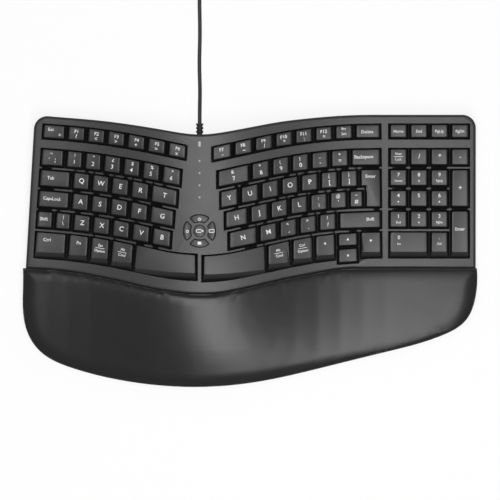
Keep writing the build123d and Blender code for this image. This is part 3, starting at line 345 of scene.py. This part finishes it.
corners = [relief.verts.new((cord_exit.x + r, y, cord_exit.z)) for r, y in profile]
edges = [relief.edges.new(pair) for pair in zip(corners, corners[1:])]
bmesh.ops.spin(
    relief, geom=corners + edges, cent=cord_exit, axis=(0, 1, 0), angle=2 * math.pi, steps=32,
    use_merge=True
)
bmesh.ops.recalc_face_normals(relief, faces=relief.faces)
put("strain_relief_sleeve", relief, jacket, base, "cord_jacket", "strain_relief")

# Base and inner stack: the black tray with its feet, pads and screws, and the layers over it,
# which are seen only from below or through the gaps between the keys.
tray_black = moulded("tray_black", 0.02, 0.5, grain=0.0008)
for node in ("bottom_case", "tilt_foot_left", "tilt_foot_right", "palm_rest_carrier"):
    finish(nodes[node], tray_black)
inner_finishes = {
    "rubber_pads": moulded("foot_rubber", 0.03, 0.85, grain=0.0004, depth=0.4),
    "case_screws": moulded("screw_steel", 0.2, 0.35, depth=0.1, metal=1),
    "key_frame": moulded("frame_black", 0.006, 0.6),
    "rubber_dome_sheet": moulded("dome_rubber", 0.02, 0.7),
    "membrane_sheet": moulded("membrane_film", (0.3, 0.32, 0.3), 0.3, depth=0.05),
    "backing_plate": moulded("plate_steel", 0.4, 0.4, depth=0.1, metal=1),
    "controller_board": moulded("board_green", (0.01, 0.06, 0.02), 0.35, depth=0.05),
    "console_dome_pad": moulded("pad_rubber_grey", 0.06, 0.7),
}
for node, material in inner_finishes.items():
    finish(nodes[node], material)

# Top cover: one wave-shaped moulding in dark grey ABS with a fine matt texture and a rounded
# edge, with an opening for each row of keys. The openings for the media buttons have the
# buttons' own outline here, a part of a ring each.
cover_grey = moulded("cover_grey", 0.012, 0.34, grain=0.0007, depth=0.3, spread=0.08)
ring_outer, ring_inner, ring_middle, console_slit = 0.0151, 0.0085, 0.00605, 0.00055
outer_half_angle, inner_half_angle = math.radians(37), math.radians(32)
outer_steps, inner_steps, side_steps, corner_rounds = 24, 14, 8, 3
cutter_below, cutter_above, circle_steps, sliver = 0.012, 0.004, 96, 0.00005
console_low, console_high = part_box("media_centre_button")
console_middle = (console_low + console_high) / 2
console_turns = {
    "media_right_button": 0, "media_up_button": 90,
    "media_left_button": 180, "media_down_button": 270,
}


def ring_part(turn, grow=0.0):
    """The outline of one media button, a part of a ring with round corners, grown all round."""
    def arc(radius, half_angle, steps):
        angles = [half_angle * (2 * n / steps - 1) for n in range(steps + 1)]
        return [Vector((radius * math.cos(angle), radius * math.sin(angle))) for angle in angles]

    outer = arc(ring_outer, outer_half_angle, outer_steps)
    inner = arc(ring_inner, -inner_half_angle, inner_steps)
    points = outer + [outer[-1].lerp(inner[0], n / side_steps) for n in range(1, side_steps)]
    points += inner + [inner[-1].lerp(outer[0], n / side_steps) for n in range(1, side_steps)]
    for _ in range(corner_rounds):
        points = [
            (points[n - 1] + 2 * point + points[(n + 1) % len(points)]) / 4
            for n, point in enumerate(points)
        ]
    turned = Matrix.Rotation(math.radians(turn), 2)
    outline = []
    for n, point in enumerate(points):
        ahead = (points[(n + 1) % len(points)] - points[n - 1]).normalized()
        grown = point + grow * Vector((ahead.y, -ahead.x))
        outline.append(turned @ grown + console_middle.xy)
    return outline


def raise_faces(shape, faces, height):
    """Gives flat faces a thickness, upwards or downwards, as one closed body."""
    raised = bmesh.ops.extrude_face_region(shape, geom=faces, use_keep_orig=True)
    moved = [item for item in raised["geom"] if isinstance(item, bmesh.types.BMVert)]
    bmesh.ops.translate(shape, vec=(0, 0, height), verts=moved)
    bmesh.ops.recalc_face_normals(shape, faces=shape.faces)


def column(shape, outline, low, high):
    """Adds an upright prism over an outline to a shape."""
    foot = shape.faces.new([shape.verts.new((*point, low)) for point in outline])
    foot.normal_update()
    raise_faces(shape, [foot], high - low)


def opened(name, shape):
    """The shape with the media buttons' openings cut through it."""
    low, high = console_middle.z - cutter_below, console_high.z + cutter_above
    cutters = bmesh.new()
    for turn in console_turns.values():
        column(cutters, ring_part(turn, console_slit), low, high)
    bmesh.ops.create_cone(
        cutters, cap_ends=True, segments=circle_steps, radius1=ring_middle, radius2=ring_middle,
        depth=high - low, matrix=Matrix.Translation((*console_middle.xy, (low + high) / 2))
    )
    cutter, whole = mesh_object("console_cutter", cutters), mesh_object(name, shape)
    cut = whole.modifiers.new("cut", "BOOLEAN")
    cut.operation = "DIFFERENCE"
    cut.solver = "EXACT"
    cut.object = cutter
    settled = whole.evaluated_get(bpy.context.evaluated_depsgraph_get())
    result = bmesh.new()
    result.from_mesh(bpy.data.meshes.new_from_object(settled))
    bmesh.ops.dissolve_degenerate(result, dist=sliver, edges=result.edges)
    bpy.data.objects.remove(cutter)
    bpy.data.objects.remove(whole)
    return result


wave_cover = put(
    "wave_cover", opened("whole_cover", merged_copy("top_cover")), cover_grey, base,
    "cover_plastic", "top_cover", smooth=32
)
even = wave_cover.modifiers.new("even", "WEIGHTED_NORMAL")
even.mode = "FACE_AREA"
even.weight = 100
even.keep_sharp = True

# Console field: a thin round sheet in the cover's grey that closes what the buttons leave of
# the cover's wider openings. It follows the cover's wave, which is measured in two circles
# round the buttons and carried on between them.
field_radius, field_lift, field_thickness = 0.0161, 0.00005, 0.0006
field_samples, sample_circles, sample_reach, sample_start = 72, (0.0172, 0.019), 0.004, 0.1
field_cuts = 16


def wave_terms(x, y):
    return 1, x, y, x * x, x * y, y * y


whole_cover = merged_copy("top_cover")
cover_surface = BVHTree.FromBMesh(whole_cover)
whole_cover.free()
terms, heights = [], []
for n in range(field_samples):
    angle = 2 * math.pi * n / field_samples
    for radius in sample_circles:
        x, y = radius * math.cos(angle), radius * math.sin(angle)
        above = Vector((console_middle.x + x, console_middle.y + y, sample_start))
        place = cover_surface.ray_cast(above, Vector((0, 0, -1)))[0]
        if place and abs(place.z - console_high.z) < sample_reach:
            terms.append(wave_terms(x, y))
            heights.append(place.z)
wave = numpy.linalg.lstsq(numpy.array(terms), numpy.array(heights), rcond=None)[0]
field = bmesh.new()
bmesh.ops.create_circle(
    field, cap_ends=True, segments=circle_steps, radius=field_radius,
    matrix=Matrix.Translation((*console_middle.xy, 0))
)
for axis in (Vector((1, 0, 0)), Vector((0, 1, 0))):
    for n in range(1, field_cuts):
        bmesh.ops.bisect_plane(
            field, geom=[*field.faces, *field.edges, *field.verts],
            plane_co=console_middle + axis * field_radius * (2 * n / field_cuts - 1),
            plane_no=axis
        )
for vertex in field.verts:
    x, y = vertex.co.xy - console_middle.xy
    vertex.co.z = float(numpy.dot(wave, wave_terms(x, y))) + field_lift
raise_faces(field, list(field.faces), -field_thickness)
put("console_field", opened("whole_field", field), cover_grey, base, "cover_plastic", smooth=40)

# Bars between the key rows: a dark, dull sheet over the narrow strips of the cover there is
# painted shade, for the shadow that the keys cast between the rows. It is made of the cover's
# upper faces, cut into slices, that have a key close by in front and behind.
# Its near-black, almost glossless finish is painted shade, not the cover's own colour.
painted_bar_shade = moulded("painted_bar_shade", 0.003, 0.6, spread=0.06, gloss=0.02)
bar_level, bar_slices, bar_reach, bar_lift, bar_skin = 0.7, 220, 0.0042, 0.001, 0.00003
bars = merged_copy("top_cover")
uneven = [f for f in bars.faces if f.normal.z < bar_level]
bmesh.ops.delete(bars, geom=uneven, context="FACES")
key_shapes = bmesh.new()
for node in sorted(nodes):
    if node.endswith(("_key", "_keys")):
        key_shapes.from_mesh(nodes[node].data)
key_walls = BVHTree.FromBMesh(key_shapes)
key_shapes.free()
low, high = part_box("top_cover")
for n in range(1, bar_slices):
    bmesh.ops.bisect_plane(
        bars, geom=[*bars.faces, *bars.edges, *bars.verts],
        plane_co=(low.x + (high.x - low.x) * n / bar_slices, 0, 0), plane_no=(1, 0, 0)
    )
open_faces = []
for face in bars.faces:
    middle = face.calc_center_median() + Vector((0, 0, bar_lift))
    ahead = key_walls.ray_cast(middle, Vector((0, 1, 0)), bar_reach)[3]
    behind = key_walls.ray_cast(middle, Vector((0, -1, 0)), bar_reach)[3]
    if not ahead or not behind or ahead + behind > bar_reach:
        open_faces.append(face)
bmesh.ops.delete(bars, geom=open_faces, context="FACES")
bmesh.ops.translate(bars, vec=(0, 0, bar_skin), verts=bars.verts)
# The painted shade sheet lies a hair above the cover's bars.
put("row_bars_painted_shade", bars, painted_bar_shade, base, "cover_plastic")

# Keycaps: moulded in the same dark grey, with a hollow along the top, soft edges, and a long
# rolled front on the bottom row.
key_grey = moulded("key_grey", 0.011, 0.34, grain=0.0005, depth=0.25, spread=0.07)
top_level, key_flat = 0.9, 0.3
corner_width, corner_angle = 0.0011, 0.6
rim_width, rim_angle = 0.0006, 0.5
roll_width, roll_lowest, roll_highest, roll_forward = 0.0034, 0.5, 0.85, -0.3
hollow_depth, hollow_cuts, hollow_level = 0.00015, 8, 0.3
hollow_side_room, hollow_end_room = 0.001, 0.002
rolled_nodes = (
    "left_ctrl_key", "left_modifier_keys", "left_space_key", "right_space_key",
    "right_modifier_keys", "arrow_left_key", "arrow_right_key", "numpad_zero_key",
    "numpad_enter_key",
)


def is_top(face):
    return face.normal.z > top_level


def rim_edges(shape):
    """The edges between a shape's tops and its sides."""
    return [
        e for e in shape.edges
        if e.is_manifold and is_top(e.link_faces[0]) != is_top(e.link_faces[1])
    ]


def key_seats(shape, in_rows):
    """Each flat key top's own axes: a matrix at its middle, its width and its depth."""
    seats = []
    tops = [f for f in shape.faces if is_top(f)]
    largest = max(f.calc_area() for f in tops)
    for face in tops:
        if face.calc_area() < largest / 4:
            continue
        runs = [(e, e.verts[0].co - e.verts[1].co) for e in face.edges]
        level = [e for e, run in runs if abs(run.x) > abs(run.y)]
        rear = max(level, key=lambda e: e.verts[0].co.y + e.verts[1].co.y)
        ends = sorted((v.co for v in rear.verts), key=lambda co: co.x)
        across = (ends[1] - ends[0]).normalized()
        along = face.normal.cross(across).normalized()
        turn = Matrix((across, along, face.normal)).transposed()
        flat = [turn.transposed() @ v.co for v in face.verts]
        low = Vector([min(p[i] for p in flat) for i in range(3)])
        high = Vector([max(p[i] for p in flat) for i in range(3)])
        seat = Matrix.Translation(turn @ ((low + high) / 2)) @ turn.to_4x4()
        seats.append((seat, high.x - low.x, high.y - low.y))

    def order(placed):
        place = placed[0].translation
        return -round(place.y, 2) if in_rows else 0, place.x

    return sorted(seats, key=order)


def hollow_top(shape, seat, width, depth):
    """Presses a shallow trough into one key's top, along its depth."""
    back = seat.inverted()
    side, end = width / 2 + hollow_side_room, depth / 2 + hollow_end_room

    def inside(face):
        local = back @ face.calc_center_median()
        return face.normal.z > hollow_level and abs(local.x) < side and abs(local.y) < end

    for n in range(1, hollow_cuts):
        cut = (n / hollow_cuts - 0.5) * width
        patch = [f for f in shape.faces if inside(f)]
        geometry = {
            *patch, *(e for f in patch for e in f.edges), *(v for f in patch for v in f.verts)
        }
        bmesh.ops.bisect_plane(
            shape, geom=list(geometry),
            plane_co=seat @ Vector((cut, 0, 0)), plane_no=seat.to_3x3() @ Vector((1, 0, 0))
        )
    for vertex in {v for f in shape.faces if inside(f) for v in f.verts}:
        local = back @ vertex.co
        share = max(1 - (2 * local.x / width) ** 2, 0)
        vertex.co += seat.to_3x3() @ Vector((0, 0, -hollow_depth * share))


def keycaps(node):
    """The finished keycaps of one CAD node, and each one's seat for its legend."""
    shape = merged_copy(node, key_flat)
    seats = []
    if node not in ("left_space_key", "right_space_key"):
        bmesh.ops.dissolve_faces(shape, faces=[f for f in shape.faces if is_top(f)])
        seats = key_seats(shape, node == "numpad_digit_keys")
    tops = {v for e in rim_edges(shape) for v in e.verts}
    corners = {
        e for v in tops for e in v.link_edges
        if e.is_manifold and not any(is_top(f) for f in e.link_faces)
        and e.calc_face_angle(0) > corner_angle
    }
    round_off(shape, corners, corner_width, 3)
    if node in rolled_nodes:
        front = [
            e for e in rim_edges(shape)
            if any(
                roll_lowest < f.normal.z < roll_highest and f.normal.y < roll_forward
                for f in e.link_faces
            )
        ]
        round_off(shape, front, roll_width, 6)
    rim = [e for e in rim_edges(shape) if e.calc_face_angle(0) > rim_angle]
    round_off(shape, rim, rim_width, 3)
    if node != "enter_key":
        for seat, width, depth in seats:
            hollow_top(shape, seat, width, depth)
    name = node.replace("_keys", "_caps").replace("_key", "_cap")
    caps = put(name, shape, key_grey, node, "keycap_plastic", node, smooth=40)
    return caps, [seat for seat, width, depth in seats]


# Legends: pale ink pad-printed on the key tops. Letters stand near the middle, a symbol
# stands over its digit, and words and their marks are small. Each mark is a text, its size,
# and its place across and along the key top from its middle, in millimetres.
ink = moulded("legend_ink", 0.75, 0.5, depth=0.05, spread=0.03)
ink_lift, press_height, merge_reach = 0.00002, 0.004, 1e-7
cap_share, stroke_share = 0.72, 0.011
millimetre = 0.001


def letter(text):
    return [(text, 4.5, 0.3, 0.2)]


def pair(symbol, digit):
    return [(symbol, 3.1, 0, 3.7), (digit, 3.9, 0, -2.3)]


def word(text, across=0.0, along=0.4, size=3.1):
    return [(text, size, across, along)]


def function_pair(text, mark):
    return [(text, 3.2, 0, 1.9), (mark, 3.6, 0, -2.6)]


def two_lines(upper, lower, along=0.0, size=2.5):
    return [(upper, size, 0, along + 2.6), ("rule", 8.5, 0, along), (lower, size, 0, along - 2.6)]


def digit_over(digit, lower):
    return [(digit, 3.6, 0, 2.6), (lower, 2.1, 0, -3.0)]


legends = {
    "escape_key": [[("Esc", 3.0, -3.0, 2.0), ("o", 3.0, 5.4, -2.0)]],
    "left_function_keys": [
        function_pair(f"F{n}", mark) for n, mark in zip(range(1, 7), "?<>+=x")
    ],
    "right_function_keys": [
        *(function_pair(f"F{n}", mark) for n, mark in zip(range(7, 13), "-~/*:=")),
        [("Prt", 2.4, 0, 2.9), ("Scn", 2.4, 0, -1.6)],
    ],
    "delete_key": [word("Delete", -0.6, -0.6, 3.0)],
    "left_number_keys": [
        [("¬", 3.1, -1.5, 3.7), ("`", 3.9, -3.0, -2.3), ("¦", 3.6, 2.6, -2.3)],
        *(pair(symbol, digit) for symbol, digit in zip("!\"£$%^", "123456")),
    ],
    "right_number_keys": [pair(symbol, digit) for symbol, digit in zip("&*()_+", "7890-=")],
    "backspace_key": [word("Backspace", -2.0)],
    "tab_key": [word("Tab", -4.0)],
    "left_upper_letter_keys": [letter(text) for text in "QWERT"],
    "right_upper_letter_keys": [
        *(letter(text) for text in "YUIOP"), pair("{", "["), pair("}", "]"),
    ],
    "caps_lock_key": [word("CapsLock", -1.8, 0.6, 3.0)],
    "left_home_letter_keys": [letter(text) for text in "ASDFG"],
    "right_home_letter_keys": [
        *(letter(text) for text in "HJKL"), pair(":", ";"), pair("@", "'"), pair("~", "#"),
    ],
    "left_shift_key": [word("Shift", -1.0)],
    "left_lower_letter_keys": [pair("|", "\\"), *(letter(text) for text in "ZXCVB")],
    "right_lower_letter_keys": [
        letter("N"), letter("M"), pair("<", ","), pair(">", "."), pair("?", "/"),
    ],
    "right_shift_key": [word("Shift", 9.5)],
    "left_ctrl_key": [word("Ctrl", -3.6, 3.0)],
    "left_modifier_keys": [
        word("Fn", 0, 3.0), two_lines("Sys", "Option", 1.0), two_lines("Alt", "Cmd", 1.0),
    ],
    "right_modifier_keys": [two_lines("Alt", "Cmd", 1.0), two_lines("Ctrl", "Option", 1.0)],
    "enter_key": [word("Enter", 0, 11.0)],
    "arrow_left_key": [[("left", 3.0, 0, 2.0)]],
    "arrow_up_key": [[("up", 3.0, 0, 0)]],
    "arrow_down_key": [[("down", 3.0, 0, 0)]],
    "arrow_right_key": [[("right", 3.0, 0, 2.0)]],
    "navigation_keys": [word(text, 0, -0.4, 2.7) for text in ("Home", "End", "PgUp", "PgDn")],
    "numpad_operator_keys": [
        two_lines("Num", "Lock", 0.2, 2.2), letter("/"), letter("*"), letter("-"),
    ],
    "numpad_digit_keys": [
        *(digit_over(digit, lower) for digit, lower in zip("789456123", (
            "Home", "up", "PgUp", "left", "", "right", "End", "down", "PgDn"
        ))),
        [(".", 3.6, 0, 4.4), ("Del", 2.1, 0, -1.4)],
    ],
    "numpad_zero_key": [[("0", 3.6, -9.0, 4.4), ("Ins", 2.1, -9.0, -1.4)]],
    "numpad_plus_key": [letter("+")],
    "numpad_enter_key": [word("Enter", 0, 2.6, 3.0)],
}
flat_marks = {
    "rule": (1, 0.05), "square": (1, 0.8), "dot": (1, 1), "bar": (1, 0.14), "post": (0.14, 0.6)
}
arrow_turns = {"right": 0, "up": 90, "left": 180, "down": 270}


def text_mesh(text, size):
    """A legend's lettering as a flat mesh, upright round its own middle."""
    curve = bpy.data.curves.new("legend", "FONT")
    curve.body = text
    curve.size = size / cap_share
    curve.align_x, curve.align_y = "CENTER", "CENTER"
    curve.resolution_u = 3
    curve.offset = size * stroke_share
    writing = bpy.data.objects.new("legend", curve)
    mesh = bpy.data.meshes.new_from_object(writing)
    bpy.data.objects.remove(writing)
    return mesh


def legend_mesh(text, size):
    """A legend's flat mesh: a plain mark, an arrow or lettering."""
    if text not in flat_marks and text not in arrow_turns:
        return text_mesh(text, size)
    shape = bmesh.new()
    if text in flat_marks:
        bmesh.ops.create_grid(shape, x_segments=4, y_segments=1, size=size / 2)
        bmesh.ops.scale(shape, vec=(*flat_marks[text], 1), verts=shape.verts)
    else:
        bmesh.ops.create_circle(shape, cap_ends=True, segments=3, radius=size / 2)
        turn = Matrix.Rotation(math.radians(arrow_turns[text] - 90), 4, "Z")
        bmesh.ops.transform(shape, matrix=turn, verts=shape.verts)
    mesh = bpy.data.meshes.new("mark")
    shape.to_mesh(mesh)
    shape.free()
    return mesh


def print_legends(node, marks_of_keys, seats, caps, slot):
    """One piece with every legend of a node, pressed on its caps' tops."""
    wanted = bmesh.new()
    for marks, seat in zip(marks_of_keys, seats):
        for text, size, across, along in marks:
            mesh = legend_mesh(text, size * millimetre)
            place = Vector((across * millimetre, along * millimetre, 0))
            mesh.transform(seat @ Matrix.Translation(place))
            wanted.from_mesh(mesh)
            bpy.data.meshes.remove(mesh)
    caps_shape = bmesh.new()
    caps_shape.from_mesh(caps.data)
    surface = BVHTree.FromBMesh(caps_shape)
    caps_shape.free()
    for vertex in wanted.verts:
        above = vertex.co + Vector((0, 0, press_height))
        place = surface.ray_cast(above, Vector((0, 0, -1)))[0]
        if place:
            vertex.co = place + Vector((0, 0, ink_lift))
    bmesh.ops.remove_doubles(wanted, verts=wanted.verts, dist=merge_reach)
    upside = [f for f in wanted.faces if f.normal.z < 0]
    bmesh.ops.reverse_faces(wanted, faces=upside)
    put(node + "_legends", wanted, ink, node, slot)


for node in sorted(nodes):
    if not node.endswith(("_key", "_keys")):
        continue
    caps, seats = keycaps(node)
    if node in legends:
        assert len(legends[node]) == len(seats), (node, len(legends[node]), len(seats))
        print_legends(node, legends[node], seats, caps, "keycap_plastic")

# Console: four media buttons, each a part of a ring, round a round one, in the cover's grey
# with soft edges, and smoked light guides for the indicator lights.
button_grey = moulded("button_grey", 0.012, 0.34, spread=0.06)
smoked = moulded("smoked_lens", 0.25, 0.2, depth=0.02)
cap_height, rim_band = 0.0032, 0.001
frame_length, frame_rise, frame_reach = 5.4, 1.3, 2.35


def frame_marks(across):
    """The four strokes of a small frame."""
    bars = [("bar", frame_length, across, along) for along in (frame_rise, -frame_rise)]
    ends = (frame_reach, -frame_reach)
    return bars + [("post", frame_length, across + end, 0) for end in ends]


console_marks = {
    "media_up_button": [("o", 4.2, 0, 0)],
    "media_left_button": [("o", 4.2, 0, 0)],
    "media_down_button": [("square", 3.4, 0, 0)],
    "media_right_button": frame_marks(0),
    "media_centre_button": frame_marks(-0.6) + [("dot", 1.8, 2.6, 0)],
}
for node in sorted(console_marks):
    low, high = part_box(node)
    middle = (low + high) / 2
    if node in console_turns:
        shape = bmesh.new()
        column(shape, ring_part(console_turns[node]), high.z - cap_height, high.z)
        shape.normal_update()
    else:
        shape = merged_copy(node, key_flat)
    rim = [e for e in rim_edges(shape) if e.verts[0].co.z > high.z - rim_band]
    round_off(shape, rim, rim_width, 3)
    name = node.replace("_button", "_cap")
    caps = put(name, shape, button_grey, node, "console_button_plastic", node, smooth=40)
    seat = Matrix.Translation((middle.x, middle.y, high.z))
    print_legends(node, [console_marks[node]], [seat], caps, "console_button_plastic")
finish(nodes["indicator_lenses"], smoked)

# Palm rest: a thin foam cushion in black leatherette over the hard carrier. Its edge is drawn
# down all round, so that the top swells a little behind the seam.
leatherette = moulded(
    "leatherette", 0.008, 0.22, grain=0.0012, depth=0.3, spread=0.08, cloud=40, gloss=0.17
)
pad_voxel, relax_share, relax_rounds = 0.0016, 0.5, 10
edge_drop, edge_width, side_level = 0.0009, 0.006, 0.4
palm_cushion = mesh_object("palm_cushion", merged_copy("palm_rest_pad"))
palm_cushion.data.materials.append(leatherette)
remesh = palm_cushion.modifiers.new("remesh", "REMESH")
remesh.mode = "VOXEL"
remesh.voxel_size = pad_voxel
relax = palm_cushion.modifiers.new("relax", "SMOOTH")
relax.factor = relax_share
relax.iterations = relax_rounds
soft_mesh = bpy.data.meshes.new_from_object(
    palm_cushion.evaluated_get(bpy.context.evaluated_depsgraph_get())
)
palm_cushion.modifiers.clear()
palm_cushion.data = soft_mesh
cushion_sides = [v for v in soft_mesh.vertices if abs(v.normal.z) < side_level]
outline_tree = KDTree(len(cushion_sides))
for n, vertex in enumerate(cushion_sides):
    outline_tree.insert((vertex.co.x, vertex.co.y, 0), n)
outline_tree.balance()
drops = []
for vertex in soft_mesh.vertices:
    from_edge = outline_tree.find((vertex.co.x, vertex.co.y, 0))[2]
    drops.append(edge_drop * math.exp(-(from_edge / edge_width) ** 2) * max(vertex.normal.z, 0))
for vertex, drop in zip(soft_mesh.vertices, drops):
    vertex.co.z -= drop
soft_mesh.polygons.foreach_set("use_smooth", [True] * len(soft_mesh.polygons))
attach(palm_cushion, base)
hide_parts("palm_rest_pad")
